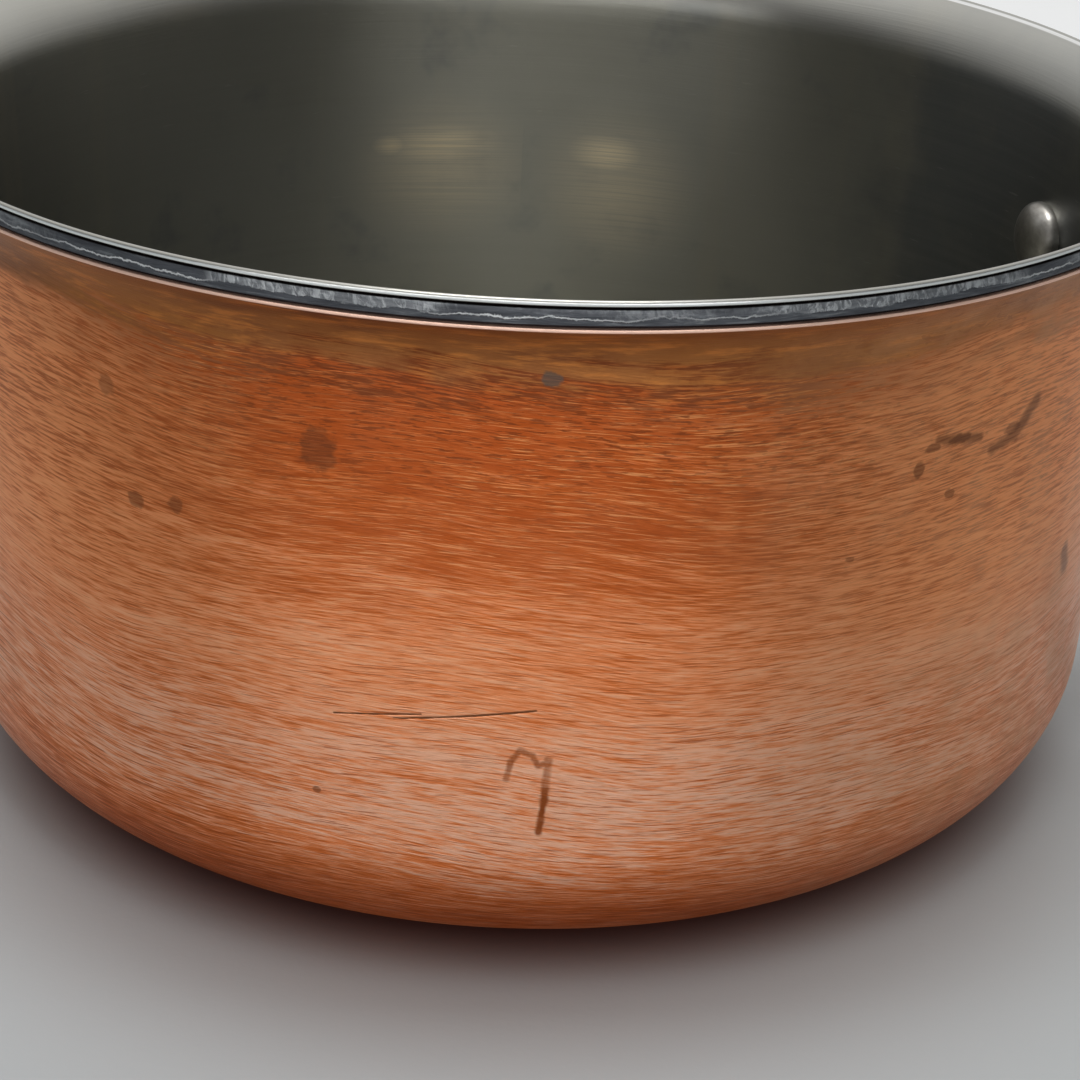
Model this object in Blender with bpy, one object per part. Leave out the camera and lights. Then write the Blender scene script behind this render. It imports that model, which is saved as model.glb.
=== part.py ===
"""Saucepan of clad sheet, with a cast brass handle on three rivets.

The sheet has a copper skin, an aluminium core and a steel liner.
Metres, +Z up. The origin is the centre of the flat underside, and the handle points along +X.
"""

import math

import bmesh
import bpy
from mathutils import Matrix, Vector

MM = 0.001

# Pan: the outline of its outer, copper surface.
PAN_HEIGHT = 83.3 * MM
RIM_RADIUS = 80.0 * MM  # upright cut edge of the lip
LIP_OVERHANG = 3.2 * MM  # how far the lip stands out past the top of the straight wall
WALL_LEAN = math.radians(1.8)  # the wall opens upwards
BASE_CORNER_RADIUS = 17.0 * MM
FLARE_RADIUS = 7.0 * MM  # hollow curve under the lip

# Clad sheet, from the outside in.
COPPER_THICKNESS = 0.45 * MM
CORE_THICKNESS = 1.4 * MM
LINER_THICKNESS = 0.45 * MM
SEAT_GAP = 0.3 * MM  # between any two pieces that lie on each other

# Rivets.
SHANK_RADIUS = 2.6 * MM
INNER_HEAD_RADIUS = 5.0 * MM
INNER_HEAD_HEIGHT = 2.9 * MM
OUTER_HEAD_RADIUS = 4.6 * MM
OUTER_HEAD_HEIGHT = 1.8 * MM
HEAD_EDGE = 0.5 * MM  # straight rim of a head, under its dome
UPPER_RIVET_DROP = 25.5 * MM  # below the rim
LOWER_RIVET_DROP = 44.8 * MM
UPPER_RIVET_OFFSET = 21.5 * MM  # sideways from the handle's middle

# Handle flange.
FLANGE_THICKNESS = 3.2 * MM
FLANGE_MARGIN = 8.0 * MM  # metal around each rivet's centre
FLANGE_EDGE_ROUND = 1.2 * MM
FLANGE_FILLET = 4.0 * MM  # between the flange and the neck

# Handle grip: half sizes of its section at shares of its length.
NECK_DROP = 27.8 * MM  # below the rim
GRIP_REACH = 168.0 * MM  # from the flange to the tip, along X
GRIP_RISE = 60.0 * MM
NECK_RUN = 34.0 * MM  # how far the curve's level start pulls it outwards
TIP_RUN = 94.0 * MM  # how far its sloping end pulls it back
TIP_SLOPE = math.radians(15)
GRIP_STATIONS = (0.0, 0.16, 0.4, 0.68, 0.88, 1.0)
GRIP_HALF_WIDTHS = tuple(w * MM for w in (9.0, 7.6, 7.4, 9.2, 11.5, 11.5))
GRIP_HALF_DEPTHS = tuple(d * MM for d in (6.2, 5.2, 4.6, 4.2, 3.6, 3.2))
SECTION_POWER = 2.6  # 2 is an ellipse, and more is squarer
TIP_LENGTH = 11.5 * MM  # rounded end
TIP_TURN = math.radians(84)  # how far round its end the skin goes before the flat that closes it
EYE_LENGTH = 17.0 * MM
EYE_WIDTH = 8.5 * MM
EYE_FROM_TIP = 15.0 * MM

# Facets.
TURNED_SEGMENTS = 48
CORNER_STEPS = 4
FLARE_STEPS = 3
RIVET_SEGMENTS = 16
DOME_STEPS = 3
RING_POINTS = 32
GRIP_RINGS = 16
TIP_RINGS = 5
EDGE_STEPS = 2
FACE_STEPS = 3
FILLET_STEPS = 4
EYE_POINTS = 24
BISECTIONS = 40
WELD_DISTANCE = 0.001 * MM
SMOOTH_ANGLE = math.radians(30)

WALL_TOP_RADIUS = RIM_RADIUS - LIP_OVERHANG
UPPER_RIVET_HEIGHT = PAN_HEIGHT - UPPER_RIVET_DROP
LOWER_RIVET_HEIGHT = PAN_HEIGHT - LOWER_RIVET_DROP
NECK_HEIGHT = PAN_HEIGHT - NECK_DROP
SHEET_THICKNESS = COPPER_THICKNESS + CORE_THICKNESS + LINER_THICKNESS + 2 * SEAT_GAP
FLANGE_FRONT = SEAT_GAP + FLANGE_THICKNESS  # from the copper to the flange's outer face
UP = Vector((0, 0, 1))
SIDEWAYS = Vector((0, 1, 0))


# ---- The pan's outline -------------------------------------------------------------------------


def flare_centre():
    """Centre, as (radius, height), of the arcs that the sheet's faces follow under the lip."""
    radius = WALL_TOP_RADIUS + FLARE_RADIUS * math.cos(WALL_LEAN)
    inner = FLARE_RADIUS + SHEET_THICKNESS
    height = PAN_HEIGHT - math.sqrt(inner**2 - (radius - RIM_RADIUS) ** 2)
    return radius, height


def wall_radius(height):
    """Radius of the straight wall's outer face at a height."""
    top = flare_centre()[1] + FLARE_RADIUS * math.sin(WALL_LEAN)
    return WALL_TOP_RADIUS - (top - height) * math.tan(WALL_LEAN)


def corner_centre():
    """Centre, as (radius, height), of the arcs round the base."""
    end_height = BASE_CORNER_RADIUS * (1 - math.sin(WALL_LEAN))
    return wall_radius(end_height) - BASE_CORNER_RADIUS * math.cos(WALL_LEAN), BASE_CORNER_RADIUS


def skin_line(depth):
    """(radius, height) points from the axis to the rim, on the face that lies depth inside the copper's."""
    corner_r, corner_z = corner_centre()
    flare_r, flare_z = flare_centre()
    line = [(0.0, depth)]
    for step in range(CORNER_STEPS + 1):
        angle = -math.pi / 2 + (math.pi / 2 - WALL_LEAN) * step / CORNER_STEPS
        reach = BASE_CORNER_RADIUS - depth
        line.append((corner_r + reach * math.cos(angle), corner_z + reach * math.sin(angle)))
    reach = FLARE_RADIUS + depth
    last = math.acos((flare_r - RIM_RADIUS) / reach)
    for step in range(FLARE_STEPS + 1):
        angle = WALL_LEAN + (last - WALL_LEAN) * step / FLARE_STEPS
        line.append((flare_r - reach * math.cos(angle), flare_z + reach * math.sin(angle)))
    return line


# ---- Blender helpers ---------------------------------------------------------------------------


def clear_scene():
    for obj in list(bpy.data.objects):
        bpy.data.objects.remove(obj, do_unlink=True)


def metal(name, colour, roughness):
    material = bpy.data.materials.new(name)
    material.use_nodes = True
    shader = material.node_tree.nodes["Principled BSDF"]
    shader.inputs["Base Color"].default_value = (*colour, 1.0)
    shader.inputs["Metallic"].default_value = 1.0
    shader.inputs["Roughness"].default_value = roughness
    return material


def add_object(name, bm, material=None):
    """Links a new object that holds this bmesh, shaded smooth except at its corners."""
    bmesh.ops.recalc_face_normals(bm, faces=bm.faces)
    mesh = bpy.data.meshes.new(name)
    bm.to_mesh(mesh)
    bm.free()
    mesh.shade_smooth()
    mesh.set_sharp_from_angle(angle=SMOOTH_ANGLE)
    obj = bpy.data.objects.new(name, mesh)
    bpy.context.scene.collection.objects.link(obj)
    if material:
        mesh.materials.append(material)
    return obj


def turned(name, profile, segments, material=None):
    """A solid turned about Z from (radius, height) points that start and end on the axis."""
    bm = bmesh.new()
    verts = [bm.verts.new((radius, 0, height)) for radius, height in profile]
    edges = [bm.edges.new(pair) for pair in zip(verts, verts[1:])]
    bmesh.ops.spin(bm, geom=verts + edges, cent=(0, 0, 0), axis=UP, angle=2 * math.pi, steps=segments)
    bmesh.ops.remove_doubles(bm, verts=bm.verts, dist=WELD_DISTANCE)
    return add_object(name, bm, material)


def make_cutter(obj):
    obj.hide_render = True
    obj.display_type = "WIRE"
    return obj


def cut(obj, cutter):
    modifier = obj.modifiers.new("cut " + cutter.name, "BOOLEAN")
    modifier.operation = "DIFFERENCE"
    modifier.solver = "EXACT"
    modifier.object = cutter


# ---- Clad sheet --------------------------------------------------------------------------------


def clad_layer(name, outer_depth, thickness, material):
    """One layer of the sheet, from the base's centre to the upright cut edge of the lip."""
    outer = skin_line(outer_depth)
    inner = skin_line(outer_depth + thickness)
    return turned(name, outer + inner[::-1], TURNED_SEGMENTS, material)


# ---- Rivets ------------------------------------------------------------------------------------


def rivet_places():
    """(name, azimuth, height) of each rivet."""
    side = math.asin(UPPER_RIVET_OFFSET / wall_radius(UPPER_RIVET_HEIGHT))
    return (
        ("rivet_upper_left", side, UPPER_RIVET_HEIGHT),
        ("rivet_upper_right", -side, UPPER_RIVET_HEIGHT),
        ("rivet_lower", 0.0, LOWER_RIVET_HEIGHT),
    )


def rivet_frame(azimuth, height):
    """Turns +Z into the wall's outward normal, and puts the origin on the copper's outer face."""
    radius = wall_radius(height)
    place = Matrix.Translation((radius * math.cos(azimuth), radius * math.sin(azimuth), height))
    return place @ Matrix.Rotation(azimuth, 4, "Z") @ Matrix.Rotation(math.pi / 2 + WALL_LEAN, 4, "Y")


def dome(radius, height, base, outward):
    """(radius, height) points of a domed head from its rim to its crown; base is its seat's height."""
    points = []
    for step in range(DOME_STEPS + 1):
        angle = math.pi / 2 * step / DOME_STEPS
        rise = HEAD_EDGE + (height - HEAD_EDGE) * math.sin(angle)
        points.append((radius * math.cos(angle), base + outward * rise))
    points[-1] = (0.0, points[-1][1])
    return points


def inner_seat():
    """Room under an inner head, whose flat back meets the hollow, faceted wall at its sides first."""
    radius = wall_radius(LOWER_RIVET_HEIGHT) - SHEET_THICKNESS
    facet = radius * (1 - math.cos(math.pi / TURNED_SEGMENTS))
    return SEAT_GAP + INNER_HEAD_RADIUS**2 / (2 * radius) + facet


def rivet(name, azimuth, height, material):
    inside = -SHEET_THICKNESS - inner_seat()
    outside = FLANGE_FRONT + SEAT_GAP
    profile = dome(OUTER_HEAD_RADIUS, OUTER_HEAD_HEIGHT, outside, 1)[::-1]
    profile += [
        (OUTER_HEAD_RADIUS, outside),
        (SHANK_RADIUS, outside),
        (SHANK_RADIUS, inside),
        (INNER_HEAD_RADIUS, inside),
    ]
    profile += dome(INNER_HEAD_RADIUS, INNER_HEAD_HEIGHT, inside, -1)
    obj = turned(name, profile, RIVET_SEGMENTS, material)
    obj.matrix_world = rivet_frame(azimuth, height)
    return obj


def rivet_hole(name, azimuth, height):
    """Cutter for the clearance hole that a rivet passes through."""
    reach = FLANGE_FRONT + FLANGE_FILLET
    radius = SHANK_RADIUS + SEAT_GAP
    profile = [(0, reach), (radius, reach), (radius, -reach), (0, -reach)]
    obj = turned(name, profile, RIVET_SEGMENTS)
    obj.matrix_world = rivet_frame(azimuth, height)
    return make_cutter(obj)


# ---- Handle ------------------------------------------------------------------------------------


def flange_reach(angle):
    """Distance from the neck's middle to the flange's edge, at an angle round it, along the wall."""
    corners = [
        Vector((side * UPPER_RIVET_OFFSET, UPPER_RIVET_HEIGHT - NECK_HEIGHT)) for side in (1, -1)
    ]
    corners.append(Vector((0, LOWER_RIVET_HEIGHT - NECK_HEIGHT)))
    direction = Vector((math.cos(angle), math.sin(angle)))
    near, far = 0.0, UPPER_RIVET_OFFSET + 3 * FLANGE_MARGIN
    for _ in range(BISECTIONS):
        middle = (near + far) / 2
        if distance_to_triangle(direction * middle, corners) < FLANGE_MARGIN:
            near = middle
        else:
            far = middle
    return near


def distance_to_triangle(point, corners):
    """Distance from a point to a filled triangle, 0 inside it."""
    inside = all(
        (b - a).cross(point - a) * (corners[1] - corners[0]).cross(corners[2] - corners[0]) >= 0
        for a, b in zip(corners, corners[1:] + corners[:1])
    )
    if inside:
        return 0.0
    gaps = []
    for a, b in zip(corners, corners[1:] + corners[:1]):
        share = max(0.0, min(1.0, (point - a).dot(b - a) / (b - a).length_squared))
        gaps.append((point - a - (b - a) * share).length)
    return min(gaps)


def on_wall(side, height, stand_off):
    """A point that stands off the copper's outer face, side measured along the wall."""
    azimuth = side / wall_radius(height)
    radius = wall_radius(height) + stand_off / math.cos(WALL_LEAN)
    return Vector((radius * math.cos(azimuth), radius * math.sin(azimuth), height))


def section_point(angle, half_width, half_depth):
    """A point of the grip's section, as (sideways, upwards), on a superellipse."""
    c, s = math.cos(angle), math.sin(angle)
    power = 2 / SECTION_POWER
    return (
        math.copysign(abs(c) ** power, c) * half_width,
        math.copysign(abs(s) ** power, s) * half_depth,
    )


def grip_size(share):
    """Half width and half depth of the grip's section, eased between its stations."""
    for k in range(len(GRIP_STATIONS) - 1):
        low, high = GRIP_STATIONS[k], GRIP_STATIONS[k + 1]
        if share <= high:
            t = (share - low) / (high - low)
            ease = t * t * (3 - 2 * t)
            width = GRIP_HALF_WIDTHS[k] + (GRIP_HALF_WIDTHS[k + 1] - GRIP_HALF_WIDTHS[k]) * ease
            depth = GRIP_HALF_DEPTHS[k] + (GRIP_HALF_DEPTHS[k + 1] - GRIP_HALF_DEPTHS[k]) * ease
            return width, depth
    return GRIP_HALF_WIDTHS[-1], GRIP_HALF_DEPTHS[-1]


def grip_frame(share):
    """(point, direction) on the grip's centreline: a cubic that leaves the flange level and then climbs."""
    start_x = wall_radius(NECK_HEIGHT) + FLANGE_FRONT + FLANGE_FILLET
    start = Vector((start_x, 0, NECK_HEIGHT))
    tip = Vector((wall_radius(NECK_HEIGHT) + FLANGE_FRONT + GRIP_REACH, 0, NECK_HEIGHT + GRIP_RISE))
    controls = (
        start,
        start + Vector((NECK_RUN, 0, 0)),
        tip - Vector((math.cos(TIP_SLOPE), 0, math.sin(TIP_SLOPE))) * TIP_RUN,
        tip,
    )
    t = share
    weights = ((1 - t) ** 3, 3 * t * (1 - t) ** 2, 3 * t * t * (1 - t), t**3)
    point = sum((c * w for c, w in zip(controls, weights)), Vector())
    slopes = (3 * (1 - t) ** 2, 6 * t * (1 - t), 3 * t * t)
    steps = [b - a for a, b in zip(controls, controls[1:])]
    return point, sum((s * w for s, w in zip(steps, slopes)), Vector()).normalized()


def grip_ring(share, width_share=1.0, depth_share=1.0):
    """One ring of points round the grip."""
    point, direction = grip_frame(share)
    upward = direction.cross(SIDEWAYS)
    half_width, half_depth = grip_size(share)
    ring = []
    for k in range(RING_POINTS):
        angle = 2 * math.pi * k / RING_POINTS
        side, rise = section_point(angle, half_width * width_share, half_depth * depth_share)
        ring.append(point + Vector((0, side, 0)) + upward * rise)
    return ring


def flange_outline(inset):
    """(side, rise) points round the flange from the neck's middle, inset from its edge."""
    outline = []
    for k in range(RING_POINTS):
        angle = 2 * math.pi * k / RING_POINTS
        reach = flange_reach(angle) - inset
        outline.append(Vector((reach * math.cos(angle), reach * math.sin(angle))))
    return outline


def neck_outline(spread):
    """(side, rise) points round the neck, spread out from its section."""
    half_width, half_depth = grip_size(0.0)
    angles = [2 * math.pi * k / RING_POINTS for k in range(RING_POINTS)]
    return [Vector(section_point(angle, half_width + spread, half_depth + spread)) for angle in angles]


def wall_ring(outline, stand_off):
    """An outline laid round the wall."""
    return [on_wall(side, NECK_HEIGHT + rise, stand_off) for side, rise in outline]


def flange_rings():
    """Rings from behind the flange, over its rounded edge and across its face to the neck's fillet."""
    rings = [wall_ring(flange_outline(0.0), -SHEET_THICKNESS)]
    for step in range(EDGE_STEPS + 1):
        turn = math.pi / 2 * step / EDGE_STEPS
        outline = flange_outline(FLANGE_EDGE_ROUND * (1 - math.cos(turn)))
        rings.append(wall_ring(outline, FLANGE_FRONT - FLANGE_EDGE_ROUND * (1 - math.sin(turn))))
    pairs = list(zip(flange_outline(FLANGE_EDGE_ROUND), neck_outline(FLANGE_FILLET)))
    for step in range(1, FACE_STEPS):
        rings.append(wall_ring([edge.lerp(neck, step / FACE_STEPS) for edge, neck in pairs], FLANGE_FRONT))
    return rings


def fillet_rings():
    """Rings that sweep from the flange's face to the neck in a quarter round."""
    rings = []
    for step in range(FILLET_STEPS):
        turn = math.pi / 2 * step / FILLET_STEPS
        outline = neck_outline(FLANGE_FILLET * (1 - math.sin(turn)))
        stand_off = FLANGE_FRONT + FLANGE_FILLET * (1 - math.cos(turn))
        reach = wall_radius(NECK_HEIGHT) + stand_off
        flat = [Vector((reach, side, NECK_HEIGHT + rise)) for side, rise in outline]
        curved = wall_ring(outline, stand_off)
        rings.append([bent.lerp(level, step / FILLET_STEPS) for bent, level in zip(curved, flat)])
    return rings


def handle_rings():
    """All rings of the casting, from behind the flange to the tip."""
    rings = flange_rings() + fillet_rings()
    tip_share = TIP_LENGTH / GRIP_REACH
    straight = 1 - tip_share
    rings += [grip_ring(straight * k / GRIP_RINGS) for k in range(GRIP_RINGS + 1)]
    for step in range(1, TIP_RINGS + 1):
        turn = TIP_TURN * step / TIP_RINGS
        narrowing = math.cos(turn)
        rings.append(grip_ring(straight + tip_share * math.sin(turn), narrowing, math.sqrt(narrowing)))
    return rings


def loft(name, rings, material):
    """A closed skin over rings of equally many points."""
    bm = bmesh.new()
    loops = [[bm.verts.new(point) for point in ring] for ring in rings]
    for ring, following in zip(loops, loops[1:]):
        for k in range(len(ring)):
            after = (k + 1) % len(ring)
            bm.faces.new((ring[k], ring[after], following[after], following[k]))
    bm.faces.new(loops[0])
    bm.faces.new(loops[-1])
    return add_object(name, bm, material)


def eye_cutter():
    """Cutter for the long hole that the pan hangs by."""
    share = 1 - EYE_FROM_TIP / GRIP_REACH
    point, direction = grip_frame(share)
    upward = direction.cross(SIDEWAYS)
    depth = 3 * grip_size(share)[1]
    end_radius = EYE_WIDTH / 2
    straight = (EYE_LENGTH - EYE_WIDTH) / 2
    rings = []
    for level in (-depth, depth):
        ring = []
        for k in range(EYE_POINTS):
            angle = 2 * math.pi * (k + 0.5) / EYE_POINTS
            along = math.copysign(straight, math.cos(angle)) + end_radius * math.cos(angle)
            side = end_radius * math.sin(angle)
            ring.append(point + direction * along + Vector((0, side, 0)) + upward * level)
        rings.append(ring)
    return make_cutter(loft("eye_cutter", rings, None))


def wall_cutter():
    """Cutter with the pan's outer shape and the seat gap, for the hollow back of the flange."""
    profile = skin_line(-SEAT_GAP)
    profile.append((0.0, profile[-1][1]))
    return make_cutter(turned("wall_cutter", profile, TURNED_SEGMENTS))


def handle(material):
    obj = loft("handle", handle_rings(), material)
    cut(obj, wall_cutter())
    cut(obj, eye_cutter())
    return obj


# ---- Assembly ----------------------------------------------------------------------------------


def build():
    clear_scene()
    copper = metal("copper", (0.80, 0.36, 0.20), 0.38)
    aluminium = metal("aluminium", (0.55, 0.56, 0.57), 0.45)
    steel = metal("steel", (0.46, 0.45, 0.41), 0.32)
    brass = metal("brass", (0.72, 0.50, 0.22), 0.35)
    rivet_steel = metal("rivet_steel", (0.62, 0.60, 0.56), 0.28)

    core_depth = COPPER_THICKNESS + SEAT_GAP
    liner_depth = core_depth + CORE_THICKNESS + SEAT_GAP
    pierced = [
        clad_layer("copper_shell", 0.0, COPPER_THICKNESS, copper),
        clad_layer("aluminium_core", core_depth, CORE_THICKNESS, aluminium),
        clad_layer("steel_liner", liner_depth, LINER_THICKNESS, steel),
        handle(brass),
    ]
    for name, azimuth, height in rivet_places():
        rivet(name, azimuth, height, rivet_steel)
        hole = rivet_hole("hole_" + name, azimuth, height)
        for obj in pierced:
            cut(obj, hole)


build()
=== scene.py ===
"""Looks of the copper saucepan: fine turned layers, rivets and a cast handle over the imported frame."""

import math

import bmesh
import bpy
from mathutils import Matrix, Vector


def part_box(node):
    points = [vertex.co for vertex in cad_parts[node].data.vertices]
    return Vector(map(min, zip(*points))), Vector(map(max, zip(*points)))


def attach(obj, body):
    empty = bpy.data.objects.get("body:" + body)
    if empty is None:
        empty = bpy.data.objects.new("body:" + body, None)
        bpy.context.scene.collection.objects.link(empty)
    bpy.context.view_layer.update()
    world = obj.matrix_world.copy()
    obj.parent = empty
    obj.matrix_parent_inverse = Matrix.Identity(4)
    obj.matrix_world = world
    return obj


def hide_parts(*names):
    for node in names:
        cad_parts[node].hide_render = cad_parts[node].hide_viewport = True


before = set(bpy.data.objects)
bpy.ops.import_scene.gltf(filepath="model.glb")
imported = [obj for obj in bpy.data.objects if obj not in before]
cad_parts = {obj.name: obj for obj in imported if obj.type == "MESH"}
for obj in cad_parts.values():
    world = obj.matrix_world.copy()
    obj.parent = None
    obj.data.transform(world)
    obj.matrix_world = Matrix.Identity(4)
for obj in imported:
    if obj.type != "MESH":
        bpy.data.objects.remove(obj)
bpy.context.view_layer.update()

MM = 0.001

# Sizes that the frame gives.
RIM_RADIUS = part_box("copper_shell")[1][0]
PAN_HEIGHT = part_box("steel_liner")[1][2]

# Pan outline, as in the CAD.
WALL_TOP_RADIUS = 76.8 * MM
WALL_LEAN = math.radians(1.8)
BASE_CORNER_RADIUS = 17.0 * MM
FLARE_RADIUS = 7.0 * MM
SHEET_THICKNESS = 2.9 * MM

# Layers of the sheet, as depths from the copper's outer face, which touch here.
COPPER_DEPTH = 0.45 * MM
LINER_DEPTH = 2.45 * MM

# Cut edge of the lip.
COPPER_EDGE = 0.42 * MM  # height of the copper's bright arris
COPPER_ARRIS = ((0.15, 0.0), (0.0, 0.3), (0.1, 0.8))  # inwards and upwards, as shares of that height
LINER_EDGE = 0.55 * MM
LINER_EDGE_RADIUS = 0.30 * MM
LINER_EDGE_INSET = 0.04 * MM
LINER_FOOT_INSET = 0.10 * MM
LINER_FOOT_DROP = 0.02 * MM
CORE_INSET = 0.08 * MM
CORE_BULGE = 0.05 * MM
EDGE_GROOVE = 0.34 * MM  # dark line between two layers
EDGE_GROOVE_BEND = 0.6  # share of it that stays at full depth
GROOVE_DEPTH = 0.45 * MM
ARRIS_FROM, ARRIS_TURN = math.radians(125), math.radians(135)

# Facets.
TURNED_SEGMENTS = 320
FLOOR_STEPS = 12
CORNER_STEPS = 22
WALL_STEPS = 40
FLARE_STEPS = 14
CORE_STEPS = 12
ARRIS_STEPS = 8
CORE_REACH = 8  # points of the sheet's faces, down from the lip, that the core's edge follows
SHARP_ANGLE = math.radians(40)


# ---- The pan's outline -------------------------------------------------------------------------


def flare_centre():
    """Centre, as (radius, height), of the arcs that the sheet's faces follow under the lip."""
    radius = WALL_TOP_RADIUS + FLARE_RADIUS * math.cos(WALL_LEAN)
    inner = FLARE_RADIUS + SHEET_THICKNESS
    height = PAN_HEIGHT - math.sqrt(inner**2 - (radius - RIM_RADIUS) ** 2)
    return radius, height


def wall_radius(height):
    """Radius of the straight wall's outer face at a height."""
    top = flare_centre()[1] + FLARE_RADIUS * math.sin(WALL_LEAN)
    return WALL_TOP_RADIUS - (top - height) * math.tan(WALL_LEAN)


def corner_centre():
    """Centre, as (radius, height), of the arcs round the base."""
    end_height = BASE_CORNER_RADIUS * (1 - math.sin(WALL_LEAN))
    return wall_radius(end_height) - BASE_CORNER_RADIUS * math.cos(WALL_LEAN), BASE_CORNER_RADIUS


def cut_height(depth):
    """Height at which a face that lies at this depth meets the upright cut of the lip."""
    flare_r, flare_z = flare_centre()
    return flare_z + math.sqrt((FLARE_RADIUS + depth) ** 2 - (flare_r - RIM_RADIUS) ** 2)


def skin_line(depth):
    """(radius, height) points from the axis to the lip, on the face that lies depth inside the copper's."""
    corner_r, corner_z = corner_centre()
    flare_r, flare_z = flare_centre()
    line = [(corner_r * step / FLOOR_STEPS, depth) for step in range(FLOOR_STEPS)]
    reach = BASE_CORNER_RADIUS - depth
    for step in range(CORNER_STEPS + 1):
        angle = -math.pi / 2 + (math.pi / 2 - WALL_LEAN) * step / CORNER_STEPS
        line.append((corner_r + reach * math.cos(angle), corner_z + reach * math.sin(angle)))
    reach = FLARE_RADIUS + depth
    last = math.acos((flare_r - RIM_RADIUS) / reach)
    flare = []
    for step in range(FLARE_STEPS + 1):
        angle = WALL_LEAN + (last - WALL_LEAN) * step / FLARE_STEPS
        flare.append((flare_r - reach * math.cos(angle), flare_z + reach * math.sin(angle)))
    low, high = Vector(line[-1]), Vector(flare[0])
    line += [tuple(low.lerp(high, step / WALL_STEPS)) for step in range(1, WALL_STEPS)]
    return line + flare


# ---- Meshes ------------------------------------------------------------------------------------


def add_piece(name, bm, material, slot, *replaced):
    """Links a new piece that stands for CAD nodes, shaded smooth except at its corners."""
    bmesh.ops.recalc_face_normals(bm, faces=bm.faces)
    mesh = bpy.data.meshes.new(name)
    bm.to_mesh(mesh)
    bm.free()
    mesh.shade_smooth()
    mesh.set_sharp_from_angle(angle=SHARP_ANGLE)
    piece = bpy.data.objects.new(name, mesh)
    bpy.context.scene.collection.objects.link(piece)
    mesh.materials.append(material)
    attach(piece, "root")
    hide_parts(*replaced)
    return piece


def spin(profile, segments, place=Matrix.Identity(4)):
    """A bmesh turned about Z from (radius, height) points that start and end on the axis, or close a ring."""
    bm = bmesh.new()
    ring = profile[0][0] > 0
    rows = []
    for radius, height in profile:
        if radius == 0:
            rows.append([bm.verts.new((0, 0, height))] * segments)
            continue
        row = []
        for k in range(segments):
            angle = 2 * math.pi * k / segments
            row.append(bm.verts.new((radius * math.cos(angle), radius * math.sin(angle), height)))
        rows.append(row)
    pairs = list(zip(rows, rows[1:]))
    if ring:
        pairs.append((rows[-1], rows[0]))
    for low, high in pairs:
        for k in range(segments):
            after = (k + 1) % segments
            corners = []
            for vert in (low[k], low[after], high[after], high[k]):
                if vert not in corners:
                    corners.append(vert)
            bm.faces.new(corners)
    bmesh.ops.transform(bm, matrix=place, verts=bm.verts)
    return bm


def copper_profile():
    """Outer face, the bright arris at the lip and the hidden inner face."""
    foot = cut_height(0.0)
    arris = []
    for inwards, upwards in COPPER_ARRIS:
        arris.append((RIM_RADIUS - inwards * COPPER_EDGE, foot + upwards * COPPER_EDGE))
    arris.append((RIM_RADIUS - GROOVE_DEPTH, foot + COPPER_EDGE))
    return skin_line(0.0)[:-1] + arris + skin_line(COPPER_DEPTH)[-2::-1]


def core_profile():
    """The core between its neighbours near the lip, and its ground edge."""
    low = cut_height(0.0) + COPPER_EDGE
    high = PAN_HEIGHT - LINER_EDGE
    face = []
    for step in range(CORE_STEPS + 1):
        share = step / CORE_STEPS
        height = low + EDGE_GROOVE + (high - low - 2 * EDGE_GROOVE) * share
        bulge = CORE_BULGE * (1 - (2 * share - 1) ** 2)
        face.append((RIM_RADIUS - CORE_INSET + bulge, height))
    sunk = RIM_RADIUS - GROOVE_DEPTH
    bend = EDGE_GROOVE_BEND * EDGE_GROOVE
    edge = [(sunk, low), (sunk, low + bend), *face, (sunk, high - bend), (sunk, high)]
    outer = skin_line(COPPER_DEPTH)[-CORE_REACH:-1]
    inner = skin_line(LINER_DEPTH)[-CORE_REACH:-1]
    return outer + edge + inner[::-1]


def liner_profile():
    """Cooking surface, the polished inner arris and the hidden outer face."""
    inner = skin_line(SHEET_THICKNESS)[:-1]
    foot = PAN_HEIGHT - LINER_EDGE
    centre_r = RIM_RADIUS - LINER_EDGE_RADIUS - LINER_EDGE_INSET
    centre_z = PAN_HEIGHT - LINER_EDGE_RADIUS
    arris = []
    for step in range(ARRIS_STEPS + 1):
        angle = ARRIS_FROM - ARRIS_TURN * step / ARRIS_STEPS
        radius = centre_r + LINER_EDGE_RADIUS * math.cos(angle)
        arris.append((radius, centre_z + LINER_EDGE_RADIUS * math.sin(angle)))
    arris.append((RIM_RADIUS - LINER_FOOT_INSET, foot))
    arris.append((RIM_RADIUS - GROOVE_DEPTH, foot - LINER_FOOT_DROP))
    return inner + arris + skin_line(LINER_DEPTH)[-2::-1]


# ---- Node helper -------------------------------------------------------------------------------


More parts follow.
